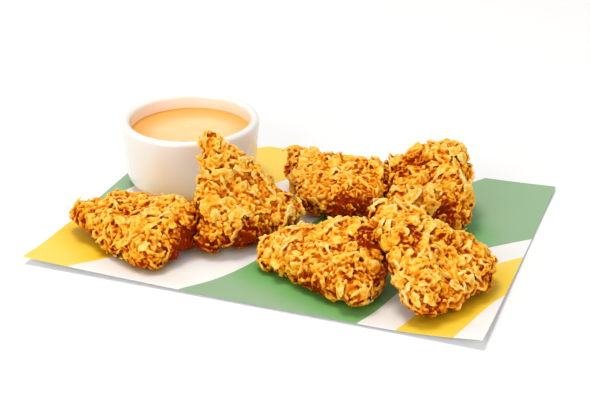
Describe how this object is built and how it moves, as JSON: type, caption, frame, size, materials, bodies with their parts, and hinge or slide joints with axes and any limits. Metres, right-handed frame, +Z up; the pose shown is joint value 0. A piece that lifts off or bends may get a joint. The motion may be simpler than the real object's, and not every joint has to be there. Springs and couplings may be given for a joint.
{
  "type": "chicken bites with dip",
  "caption": "Crisp breaded chicken bites lying and leaning on a printed paper sheet beside a white pot of creamy dip, a side dish to pick up and dip.",
  "frame": {"origin": "middle of the paper sheet, on the surface that it lies on", "axes": "+X along the sheet's long side, with the pot at -X; +Y towards the back, where the pot stands; +Z up"},
  "size_m": [0.183, 0.14, 0.0431],
  "materials": {
    "paper": "matte",
    "glaze": "gloss",
    "dip": "gloss",
    "crust": "satin"
  },
  "bodies": {
    "root": {"paper_sheet": "paper", "ramekin": "glaze", "dip": "dip", "bite_left": "crust", "bite_standing": "crust", "bite_back": "crust", "bite_back_right": "crust", "bite_front": "crust", "bite_front_right": "crust"}
  },
  "joints": []
}
